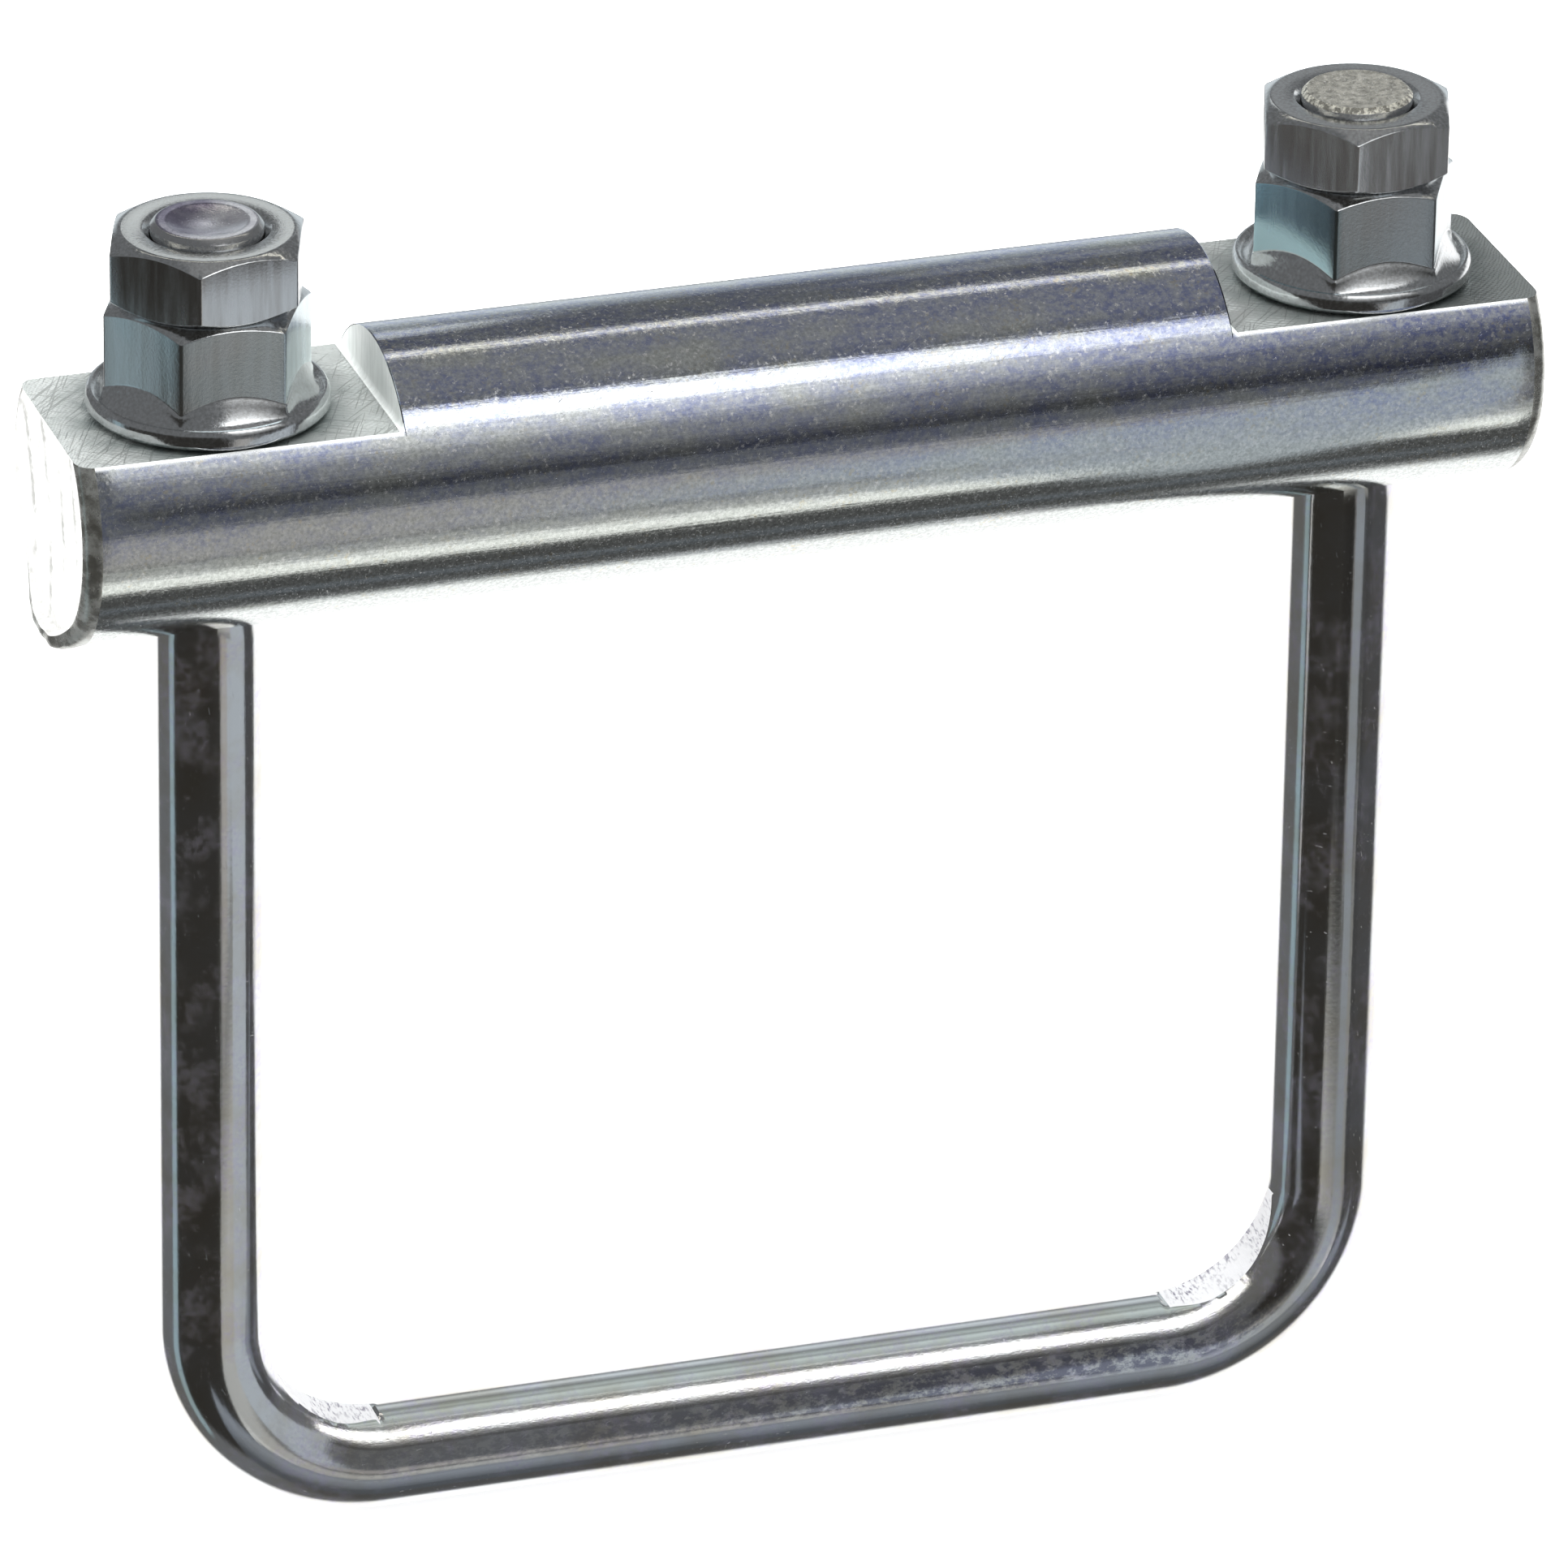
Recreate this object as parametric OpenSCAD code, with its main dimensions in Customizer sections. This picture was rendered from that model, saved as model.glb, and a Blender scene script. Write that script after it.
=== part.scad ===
// Square U-bolt with a round cross bar, held on each leg by a flange nut and a lock nut.
// Frame: +X along the cross bar, +Y through the eye, +Z up the legs. The origin is on the
// surface that the U-bolt's bottom run stands on, under the middle of that run.

/* [U-bolt] */
// Distance between the centre lines of the two legs
leg_spacing = 84.5; // [72:0.5:120]
// Diameter of the plain rod
rod_d = 7.5; // [6.5:0.1:7.8]
// Radius of each bend, to the centre line of the rod
bend_r = 12.5; // [6:0.5:20]
// Clear height of the eye, from the bottom run up to the cross bar
eye_height = 64.5; // [45:0.5:120]
// Major diameter of the rolled thread
thread_d = 7.9; // [7.82:0.01:7.96]
// Length of thread on each leg
thread_len = 28; // [20:1:40]
// How far each leg stands out of its lock nut
tip_out = 0.55; // [0.4:0.05:12]
// Depth of the shallow cup in the tip of the left leg
tip_cup_depth = 0.45; // [0.1:0.05:0.8]

/* [Cross bar] */
// Diameter of the cross bar
bar_d = 20; // [18:0.5:24]
// Length of the cross bar
bar_len = 107.5; // [106:0.5:150]
// Length of the full round between the two milled flats
middle_len = 60.8; // [40:0.2:64]
// Depth of each milled flat, down from the top of the bar
flat_depth = 4; // [3:0.1:5]
// Diameter of the hole that each leg passes through
leg_hole_d = 9; // [8.4:0.1:9.5]
// Radius of the rounded edge at each end of the bar
end_round = 0.8; // [0.2:0.1:1.5]
// Radius that the cutter left at the foot of each step
step_fillet = 0.5; // [0.2:0.1:1]

/* [Nuts] */
// Size across the flats of all four nuts
nut_af = 13; // [12.7:0.1:13.4]
// Height of the lock nuts
lock_nut_h = 5; // [4:0.1:6.8]
// Height of the flange nuts
flange_nut_h = 8.5; // [7.6:0.1:9]
// Diameter of the flange
flange_d = 17.1; // [16.6:0.1:17.9]
// Bore of the nuts, just clear of the thread
nut_bore_d = 8; // [8:0.02:8.1]
// Turn of the lock nuts about their legs, from a corner on +X
lock_nut_turn = 10.5; // [0:0.5:60]

/* [Hidden] */
$fn = 96;
clear = 1;                                      // how far a cutter runs past what it cuts
chamfer_angle = 30;                             // of the nuts' corner chamfers
leg_x = leg_spacing / 2;
rod_r = rod_d / 2;
bar_z = rod_d + eye_height + bar_d / 2;         // axis of the cross bar
flat_z = bar_z + bar_d / 2 - flat_depth;        // the flats that the flange nuts sit on
lock_nut_z = flat_z + flange_nut_h;
tip_z = lock_nut_z + lock_nut_h + tip_out;
bend_z = rod_r + bend_r;                        // where each bend runs into its leg
thread_z = tip_z - thread_len;
tip_chamfer = 0.35;
run_out = 0.6;                                  // cone from the plain rod up to the thread
cup_d = 5.8;                                    // mouth of the cup in the left leg's tip
cup_r = (pow(cup_d / 2, 2) + pow(tip_cup_depth, 2)) / (2 * tip_cup_depth);
nut_corner_r = nut_af / 2 / cos(30);
nut_face_r = 6.15 * nut_af / 13;                // round face left inside the corner chamfer
chamfer_h = (nut_corner_r - nut_face_r) * tan(chamfer_angle);
countersink = 0.45;                             // depth of each countersink in a nut's bore
bearing_r = flange_d / 2 - 0.75;                // flat underside of the flange
rim_low = 0.5;                                  // lower edge of the flange's rim
rim_high = 1.15;                                // upper edge of the flange's rim
cone_low = 1.5;                                 // where the flange's cone starts
cone_high = 3.95;                               // where the cone ends, inside the hexagon

// One leg, turned about its own axis: plain rod, run-out, thread and chamfered tip
module leg() {
    rotate_extrude()
        polygon([
            [0, bend_z],
            [rod_r, bend_z],
            [rod_r, thread_z - run_out],
            [thread_d / 2, thread_z],
            [thread_d / 2, tip_z - tip_chamfer],
            [thread_d / 2 - tip_chamfer, tip_z],
            [0, tip_z]
        ]);
}

// Quarter-round bend from the bottom run up into the right leg
module bend() {
    translate([leg_x - bend_r, 0, bend_z])
        rotate([90, 0, 0])
            rotate_extrude(angle = -90)
                translate([bend_r, 0])
                    circle(r = rod_r);
}

module bottom_run() {
    run = leg_spacing - 2 * bend_r;
    translate([-run / 2, 0, rod_r])
        rotate([0, 90, 0])
            cylinder(r = rod_r, h = run);
}

module u_bolt() {
    color("lightsteelblue")
        difference() {
            union() {
                bottom_run();
                for (side = [0, 1])
                    mirror([side, 0, 0]) {
                        bend();
                        translate([leg_x, 0, 0]) leg();
                    }
            }
            translate([-leg_x, 0, tip_z + cup_r - tip_cup_depth])
                sphere(r = cup_r);
        }
}

// Round bar about Z with rounded end edges, centred on the origin
module round_bar() {
    half = bar_len / 2;
    rotate_extrude() {
        translate([0, -half]) square([bar_d / 2 - end_round, bar_len]);
        translate([0, end_round - half]) square([bar_d / 2, bar_len - 2 * end_round]);
        for (end = [-1, 1])
            translate([bar_d / 2 - end_round, end * (half - end_round)])
                intersection() {
                    circle(r = end_round);
                    translate([0, end > 0 ? 0 : -end_round]) square(end_round);
                }
    }
}

// What the end mill takes away for one flat, with its rounded corner at the step's foot
module flat_cutter() {
    reach = bar_len;
    translate([middle_len / 2, bar_d, bar_d / 2 - flat_depth])
        rotate([90, 0, 0])
            linear_extrude(height = 2 * bar_d) {
                translate([step_fillet, 0]) square(reach);
                translate([0, step_fillet]) square(reach);
                translate([step_fillet, step_fillet]) circle(r = step_fillet);
            }
}

module cross_bar() {
    color("silver")
        translate([0, 0, bar_z])
            difference() {
                rotate([0, 90, 0]) round_bar();
                for (side = [0, 1])
                    mirror([side, 0, 0]) {
                        flat_cutter();
                        translate([leg_x, 0, -bar_d])
                            cylinder(d = leg_hole_d, h = 2 * bar_d);
                    }
            }
}

// Hexagon with a corner on +X, its corners chamfered at the top and, if asked, at the bottom
module hexagon(height, both_ends) {
    foot_r = both_ends ? nut_face_r : nut_corner_r;
    foot_h = both_ends ? chamfer_h : 0;
    intersection() {
        cylinder(r = nut_corner_r, h = height, $fn = 6);
        rotate_extrude()
            polygon([
                [0, 0],
                [foot_r, 0],
                [nut_corner_r + (both_ends ? 0 : clear), foot_h],
                [nut_corner_r + (both_ends ? 0 : clear), height - chamfer_h],
                [nut_face_r, height],
                [0, height]
            ]);
    }
}

// Bore with a countersink at both ends
module nut_bore(height) {
    mouth_r = nut_bore_d / 2 + countersink;
    rotate_extrude()
        polygon([
            [0, -clear],
            [mouth_r, -clear],
            [mouth_r, 0],
            [nut_bore_d / 2, countersink],
            [nut_bore_d / 2, height - countersink],
            [mouth_r, height],
            [mouth_r, height + clear],
            [0, height + clear]
        ]);
}

module lock_nut() {
    color("gainsboro")
        difference() {
            rotate([0, 0, lock_nut_turn]) hexagon(lock_nut_h, true);
            nut_bore(lock_nut_h);
        }
}

// Flange turned about Z: flat bearing face, relieved rim, and a cone up into the hexagon
module flange() {
    rim_r = flange_d / 2;
    rotate_extrude()
        polygon([
            [0, 0],
            [bearing_r, 0],
            [rim_r, rim_low],
            [rim_r, rim_high],
            [rim_r - 0.25, cone_low],
            [nut_corner_r, 2.35],
            [nut_af / 2, 3.2],
            [nut_af / 2 - 1, cone_high],
            [0, cone_high]
        ]);
}

module flange_nut() {
    color("lightgray")
        difference() {
            union() {
                flange();
                translate([0, 0, rim_high])
                    hexagon(flange_nut_h - rim_high, false);
            }
            nut_bore(flange_nut_h);
        }
}

module left_flange_nut() {
    translate([-leg_x, 0, flat_z]) flange_nut();
}

module right_flange_nut() {
    translate([leg_x, 0, flat_z]) flange_nut();
}

module left_lock_nut() {
    translate([-leg_x, 0, lock_nut_z]) lock_nut();
}

module right_lock_nut() {
    translate([leg_x, 0, lock_nut_z]) lock_nut();
}

u_bolt();
cross_bar();
left_flange_nut();
right_flange_nut();
left_lock_nut();
right_lock_nut();
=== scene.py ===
import math

import bmesh
import bpy
from mathutils import Matrix, Vector, noise


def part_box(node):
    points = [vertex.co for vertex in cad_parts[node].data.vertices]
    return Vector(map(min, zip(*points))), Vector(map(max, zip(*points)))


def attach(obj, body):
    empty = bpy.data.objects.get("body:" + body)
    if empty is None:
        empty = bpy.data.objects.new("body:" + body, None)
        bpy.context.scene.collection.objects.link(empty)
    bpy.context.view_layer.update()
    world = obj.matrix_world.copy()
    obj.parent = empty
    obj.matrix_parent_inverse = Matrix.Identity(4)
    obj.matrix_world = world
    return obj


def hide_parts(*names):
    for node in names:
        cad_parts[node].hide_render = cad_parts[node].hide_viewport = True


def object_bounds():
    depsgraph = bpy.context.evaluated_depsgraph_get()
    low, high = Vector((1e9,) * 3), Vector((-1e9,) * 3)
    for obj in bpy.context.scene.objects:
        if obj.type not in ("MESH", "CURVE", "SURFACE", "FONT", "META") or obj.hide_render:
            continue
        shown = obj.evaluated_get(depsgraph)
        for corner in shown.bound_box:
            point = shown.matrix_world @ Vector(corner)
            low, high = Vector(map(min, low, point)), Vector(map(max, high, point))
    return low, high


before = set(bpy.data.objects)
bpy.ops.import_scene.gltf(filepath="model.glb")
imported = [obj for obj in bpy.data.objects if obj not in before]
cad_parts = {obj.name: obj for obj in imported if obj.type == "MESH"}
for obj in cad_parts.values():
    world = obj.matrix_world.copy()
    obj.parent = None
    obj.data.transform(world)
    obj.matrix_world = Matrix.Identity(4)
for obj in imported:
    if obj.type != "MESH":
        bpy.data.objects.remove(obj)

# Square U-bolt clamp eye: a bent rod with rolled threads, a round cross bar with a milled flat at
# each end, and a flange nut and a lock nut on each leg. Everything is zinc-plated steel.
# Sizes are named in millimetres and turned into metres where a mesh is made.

MM = 0.001
CAD_LOW, CAD_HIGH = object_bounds()


# ---------------------------------------------------------------- places, from the frame

def box_mm(node):
    """Lowest and highest corner of a CAD node, in millimetres."""
    low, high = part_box(node)
    return low / MM, high / MM


BAR_LOW, BAR_HIGH = box_mm("cross_bar")
BOLT_HIGH = box_mm("u_bolt")[1]
FLANGE_LOW, FLANGE_HIGH = box_mm("right_flange_nut")
LOCK_LOW, LOCK_HIGH = box_mm("right_lock_nut")

BAR_R = (BAR_HIGH.y - BAR_LOW.y) / 2
BAR_Z = BAR_LOW.z + BAR_R
BAR_HALF = BAR_HIGH.x
FLAT_Z = FLANGE_LOW.z
LEG_X = (FLANGE_LOW.x + FLANGE_HIGH.x) / 2
TIP_Z = BOLT_HIGH.z
FLANGE_NUT_H = FLANGE_HIGH.z - FLANGE_LOW.z
LOCK_NUT_H = LOCK_HIGH.z - LOCK_LOW.z
FLANGE_R = (FLANGE_HIGH.y - FLANGE_LOW.y) / 2

# ---------------------------------------------------------------- sizes that the boxes don't give

ROD_R = 3.75
THREAD_R = 3.95
ROOT_R = 3.273
PITCH = 1.25
THREAD_Z = TIP_Z - 28.0
RUN_OUT = 0.6
TIP_CHAMFER = 0.35
CUP_R = 2.9
CUP_DEPTH = 0.45
BEND_R = 12.5
BEND_Z = ROD_R + BEND_R
PRESS_DEPTH = 0.5
PRESS_START = 0.03
PRESS_END = 0.97
MIDDLE_HALF = 30.4
STEP_FILLET = 0.5
END_ROUND = 1.15
HOLE_R = 4.5
NUT_FLAT = 6.5
NUT_CORNER_ROUND = 0.3
NUT_FACE_R = 6.15
CHAMFER_SLOPE = math.tan(math.radians(30))
BORE_R = 4.0
COUNTERSINK = 0.45
LOCK_NUT_TURN = 10.5
RIM_LIP = 0.25
BEAD = 0.78
BEAD_FOOT = 1.5
CONE_RISE = 1.7
BURR_REACH = 1.3
BURR = Vector((-0.8, 0, -0.55))

ROUND_STEPS = 64
COLUMNS = [2 * math.pi * i / ROUND_STEPS for i in range(ROUND_STEPS)]
PRESS_COLUMN = COLUMNS[5]


# ---------------------------------------------------------------- mesh building

class Shell:
    """Points and faces of one closed surface. Each face has a finish, which becomes its material."""

    def __init__(self):
        self.points = []
        self.lay = []
        self.faces = []
        self.finish = []

    def point(self, place, lay=None):
        self.points.append(Vector(place))
        self.lay.append(Vector(lay if lay is not None else place))
        return len(self.points) - 1

    def ring(self, places, lays=None):
        lays = lays or places
        return [self.point(p, q) for p, q in zip(places, lays)]

    def face(self, corners, finish):
        self.faces.append(corners)
        self.finish.append(finish)

    def band(self, a, b, finish):
        """Quads between two rings of the same length."""
        n = len(a)
        for i in range(n):
            j = (i + 1) % n
            self.face([a[i], a[j], b[j], b[i]], finish)

    def fan(self, ring, centre, finish):
        n = len(ring)
        for i in range(n):
            self.face([ring[i], ring[(i + 1) % n], centre], finish)

    def make(self, name, materials, seed, crease=32.0, offset=(0, 0, 0)):
        """The piece as a Blender object, in metres, with the pattern coordinates on its points."""
        mesh = bpy.data.meshes.new(name)
        shift = Vector(offset)
        mesh.from_pydata([(p + shift) * MM for p in self.points], [], self.faces)
        names = list(dict.fromkeys(self.finish))
        for finish in names:
            mesh.materials.append(materials[finish])
        mesh.polygons.foreach_set("material_index", [names.index(f) for f in self.finish])
        finish_mesh(mesh, self.lay, seed, crease)
        return place_object(name, mesh)


def place_object(name, data):
    """A new object of the scene that shows a mesh, a light or a camera."""
    item = bpy.data.objects.new(name, data)
    bpy.context.scene.collection.objects.link(item)
    return item


def finish_mesh(mesh, lay, seed, crease):
    """Outward normals, smooth shading with creases, and the attributes that the materials read."""
    work = bmesh.new()
    work.from_mesh(mesh)
    bmesh.ops.recalc_face_normals(work, faces=work.faces)
    work.to_mesh(mesh)
    work.free()
    mesh.polygons.foreach_set("use_smooth", [True] * len(mesh.polygons))
    mesh.set_sharp_from_angle(angle=math.radians(crease))
    pattern = mesh.attributes.new("lay", "FLOAT_VECTOR", "POINT")
    pattern.data.foreach_set("vector", [c for p in lay for c in p])
    seeds = mesh.attributes.new("seed", "FLOAT", "POINT")
    seeds.data.foreach_set("value", [seed] * len(mesh.vertices))
    mesh.update()


def smooth_step(low, high, x):
    t = min(1.0, max(0.0, (x - low) / (high - low)))
    return t * t * (3 - 2 * t)


def spread(low, high, count):
    """count + 1 even values from low to high."""
    return [low + (high - low) * i / count for i in range(count + 1)]


# ---------------------------------------------------------------- U-bolt

class Station:
    """One place along the rod: its centre, the direction away from the eye, and the length so far."""

    def __init__(self, centre, outward, run, bend=0.0):
        self.centre = centre
        self.outward = outward
        self.run = run
        self.bend = bend


def bend_stations(side, run):
    """A quarter turn of the rod on one side. Each bend is counted from 0 at its leg."""
    found = []
    for t in spread(0, 1, 64):
        a = math.pi * (t / 2 + (1.0 if side < 0 else 1.5))
        out = Vector((math.cos(a), 0, math.sin(a)))
        centre = Vector((side * (LEG_X - BEND_R), 0, BEND_Z)) + BEND_R * out
        length = run + BEND_R * math.pi / 2 * t
        found.append(Station(centre, out, length, t if side < 0 else 1 - t))
    return found


def rod_stations():
    """The plain rod from the top of the left leg, round the bottom, to the top of the right leg."""
    top = THREAD_Z - RUN_OUT
    leg = top - BEND_Z
    arc = BEND_R * math.pi / 2
    bottom = 2 * (LEG_X - BEND_R)
    found = []
    for d in spread(0, leg, 26)[:-1]:
        found.append(Station(Vector((-LEG_X, 0, top - d)), Vector((-1, 0, 0)), d))
    found += bend_stations(-1, leg)
    for d in spread(0, bottom, 28)[1:-1]:
        centre = Vector((BEND_R - LEG_X + d, 0, ROD_R))
        found.append(Station(centre, Vector((0, 0, -1)), leg + arc + d))
    found += bend_stations(1, leg + arc + bottom)
    for d in spread(0, leg, 26)[1:]:
        run = leg + 2 * arc + bottom + d
        found.append(Station(Vector((LEG_X, 0, BEND_Z + d)), Vector((1, 0, 0)), run))
    return found


def press_depth(bend):
    """How deep the bending tool pressed the inside of a bend: least at the leg, most past halfway."""
    rise = smooth_step(0.02, 0.6, bend)
    fall = 1 - 0.55 * smooth_step(0.72, 0.96, bend)
    return PRESS_DEPTH * rise * fall


def press_reach(bend):
    """Angle from the middle of the pressed strip to its edge."""
    if not PRESS_START < bend < PRESS_END:
        return PRESS_COLUMN
    reach = math.acos(1 - max(press_depth(bend), 0.03) / ROD_R)
    near = smooth_step(PRESS_START, PRESS_START + 0.06, bend)
    near *= 1 - smooth_step(PRESS_END - 0.02, PRESS_END, bend)
    return PRESS_COLUMN + (reach - PRESS_COLUMN) * near


def column_angle(station, column):
    """Angle of one column of the rod: the columns crowd up to the edges of the pressed strip."""
    off = column - math.pi
    side = math.copysign(1.0, off)
    off = abs(off)
    reach = press_reach(station.bend)
    if off <= PRESS_COLUMN:
        off *= reach / PRESS_COLUMN
    elif off < math.pi / 2:
        share = (off - PRESS_COLUMN) / (math.pi / 2 - PRESS_COLUMN)
        off = reach + (math.pi / 2 - reach) * share
    return math.pi + side * off


def rod_radius(station, angle):
    """Radius of the rod, a little flat where the bending tool has pressed it."""
    if not PRESS_START < station.bend < PRESS_END:
        return ROD_R
    depth = press_depth(station.bend)
    flat = ROD_R - depth
    facing = -math.cos(angle)
    if facing * ROD_R <= flat:
        return ROD_R
    pressed = depth / PRESS_DEPTH
    grain = noise.noise(Vector((station.run * 1.7, math.sin(angle) * 9, 3.0)))
    fine = noise.noise(Vector((station.run * 4.1, math.sin(angle) * 22, 8.0)))
    return flat / facing + pressed * (0.05 * grain + 0.025 * fine)


def is_pressed(station, angle):
    """True on the inside of a bend, where the bending tool has marked the rod."""
    marked = PRESS_START + 0.05 < station.bend < PRESS_END - 0.01
    return marked and abs(angle - math.pi) < PRESS_COLUMN


def rod_ring(shell, station):
    places = []
    lays = []
    for column in COLUMNS:
        a = column_angle(station, column)
        r = rod_radius(station, a)
        side = Vector((0, math.sin(a), 0))
        places.append(station.centre + r * (math.cos(a) * station.outward + side))
        lays.append((station.run, ROD_R * math.cos(a), ROD_R * math.sin(a)))
    return shell.ring(places, lays)


THREAD_PROFILE = [(-0.0625, 1.0), (0.0625, 1.0), (0.21875, 0.5), (0.375, 0.0), (0.5, -0.02),
                  (0.625, 0.0), (0.78125, 0.5)]


def thread_depth(z):
    """How deep the thread is cut at a height: it fades in above the run-out and out at the tip."""
    start = smooth_step(THREAD_Z + 0.2, THREAD_Z + 1.6 * PITCH, z)
    end = 1 - smooth_step(TIP_Z - 2.9, TIP_Z - 1.5, z)
    return (THREAD_R - ROOT_R) * start * end


def leg_ring(shell, sign, radius, z, run):
    """A level ring round one leg."""
    axis = Vector((sign * LEG_X, 0, z))
    places = [axis + radius * Vector((math.cos(a), math.sin(a), 0)) for a in COLUMNS]
    return shell.ring(places, [(run, ROD_R * math.cos(a), ROD_R * math.sin(a)) for a in COLUMNS])


def leg_thread(shell, sign, base_ring, run_at):
    """The helical thread of one leg, right-handed about +Z, from base_ring up to the tip's chamfer."""
    axis = Vector((sign * LEG_X, 0, 0))
    count = ROUND_STEPS
    rows = []
    low = THREAD_Z + 0.15
    high = TIP_Z - TIP_CHAMFER - 0.1 - PITCH
    turns = int((high - low) / PITCH)
    for row in range(turns * len(THREAD_PROFILE) + 1):
        turn, k = divmod(row, len(THREAD_PROFILE))
        phase, height = THREAD_PROFILE[k]
        ring = []
        for i, a in enumerate(COLUMNS):
            z = low + PITCH * (turn + phase - THREAD_PROFILE[0][0] + i / count)
            r = THREAD_R - thread_depth(z) * (1 - height)
            place = axis + Vector((r * math.cos(a), r * math.sin(a), z))
            lay = (run_at(z), ROD_R * math.cos(a), ROD_R * math.sin(a))
            ring.append(shell.point(place, lay))
        rows.append(ring)
    turn_rows = len(THREAD_PROFILE)
    last = len(rows) - 1
    for k in range(last):
        for i in range(count - 1):
            shell.face([rows[k][i], rows[k][i + 1], rows[k + 1][i + 1], rows[k + 1][i]], "thread")
        if k + 1 + turn_rows <= last:
            over, above = rows[k + turn_rows][0], rows[k + 1 + turn_rows][0]
            shell.face([rows[k][count - 1], over, above, rows[k + 1][count - 1]], "thread")
    top = TIP_Z - TIP_CHAMFER
    tip_ring = leg_ring(shell, sign, THREAD_R, top, run_at(top))
    for i in range(count - 1):
        shell.face([base_ring[i], base_ring[i + 1], rows[0][i + 1], rows[0][i]], "thread")
        shell.face([rows[last][i], rows[last][i + 1], tip_ring[i + 1], tip_ring[i]], "thread")
    foot = rows[0][count - 1]
    shell.face([base_ring[count - 1], base_ring[0], rows[0][0], foot], "thread")
    for k in range(turn_rows):
        shell.face([foot, rows[k][0], rows[k + 1][0]], "thread")
    head = rows[last][0]
    for k in range(last - turn_rows, last):
        shell.face([head, rows[k + 1][count - 1], rows[k][count - 1]], "thread")
    shell.face([head, tip_ring[0], tip_ring[count - 1], rows[last][count - 1]], "thread")
    return tip_ring


def leg_tip(shell, sign, tip_ring, run):
    """Chamfer and end face of one leg: a shallow cup on the left, a flat and rough face on the right."""
    axis = Vector((sign * LEG_X, 0, 0))
    finish = "cup" if sign < 0 else "tip"
    shoulder = "thread" if sign < 0 else "torn"
    edge = THREAD_R - TIP_CHAMFER
    bowl = (CUP_R ** 2 + CUP_DEPTH ** 2) / (2 * CUP_DEPTH)
    before = tip_ring
    radii = [edge + 0.06, edge - 0.04] + [edge * f for f in (0.93, 0.85, 0.8, 0.76, 0.7, 0.62)]
    radii += [edge * f for f in (0.54, 0.46, 0.38, 0.3, 0.22, 0.14, 0.07)]
    for k, r in enumerate(radii):
        ring = []
        for a in COLUMNS:
            x, y = r * math.cos(a), r * math.sin(a)
            drop = 0.05 if k == 0 else 0.0
            if sign < 0 and r < CUP_R:
                drop = CUP_DEPTH - (bowl - math.sqrt(bowl ** 2 - r ** 2))
            if sign > 0 and k > 1:
                drop = 0.03 + 0.035 * noise.noise(Vector((x * 1.3, y * 1.3, 5.0)))
                drop += 0.02 * noise.noise(Vector((x * 4.0, y * 4.0, 9.0)))
            ring.append(shell.point(axis + Vector((x, y, TIP_Z - drop)), (run, x, y)))
        shell.band(before, ring, shoulder if k < 2 else finish)
        before = ring
    drop = CUP_DEPTH if sign < 0 else 0.03
    shell.fan(before, shell.point(axis + Vector((0, 0, TIP_Z - drop)), (run, 0, 0)), finish)


def make_u_bolt(materials):
    shell = Shell()
    stations = rod_stations()
    rings = [rod_ring(shell, s) for s in stations]
    for k, (a, b) in enumerate(zip(rings, rings[1:])):
        for i in range(ROUND_STEPS):
            j = (i + 1) % ROUND_STEPS
            angle = 2 * math.pi * (i + 0.5) / ROUND_STEPS
            finish = "pressed" if is_pressed(stations[k], angle) else "rod"
            shell.face([a[i], a[j], b[j], b[i]], finish)
    whole = stations[-1].run
    half = ROUND_STEPS // 2
    for sign, ring in ((-1, rings[0]), (1, rings[-1])):
        if sign < 0:
            ring = [ring[(half - i) % ROUND_STEPS] for i in range(ROUND_STEPS)]
        run_at = (lambda z: THREAD_Z - z) if sign < 0 else (lambda z: whole + z - THREAD_Z)
        base = leg_ring(shell, sign, THREAD_R, THREAD_Z, run_at(THREAD_Z))
        shell.band(ring, base, "thread")
        tip = leg_thread(shell, sign, base, run_at)
        leg_tip(shell, sign, tip, run_at(TIP_Z))
    piece = shell.make("u_bolt_rod", materials, 1.0)
    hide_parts("u_bolt")
    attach(piece, "u_bolt")
    return piece


# ---------------------------------------------------------------- cross bar

FLAT_UP = FLAT_Z - BAR_Z
FLAT_HALF_W = math.sqrt(BAR_R ** 2 - FLAT_UP ** 2)
CORNER = math.atan2(FLAT_UP, FLAT_HALF_W)
EDGE_BREAK = 0.012


def bar_columns():
    """(angle, is on top) of each column of points round the bar, from the front edge downwards."""
    low = [CORNER - EDGE_BREAK * 3.0]
    low += spread(CORNER - 0.07, CORNER + 0.07 - (math.pi + 2 * CORNER), 118)
    low += [CORNER + EDGE_BREAK * 3.0 - (math.pi + 2 * CORNER)]
    low_corner = -math.pi - CORNER
    top = [low_corner - EDGE_BREAK * k for k in (0.0, 1.0, 2.4)]
    top += spread(low_corner - 0.06, low_corner + 0.06 - (math.pi - 2 * CORNER), 54)
    top += [CORNER - 2 * math.pi + EDGE_BREAK * k for k in (2.4, 1.0, 0.0)]
    return [(a, False) for a in low] + [(a, True) for a in top]


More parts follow.
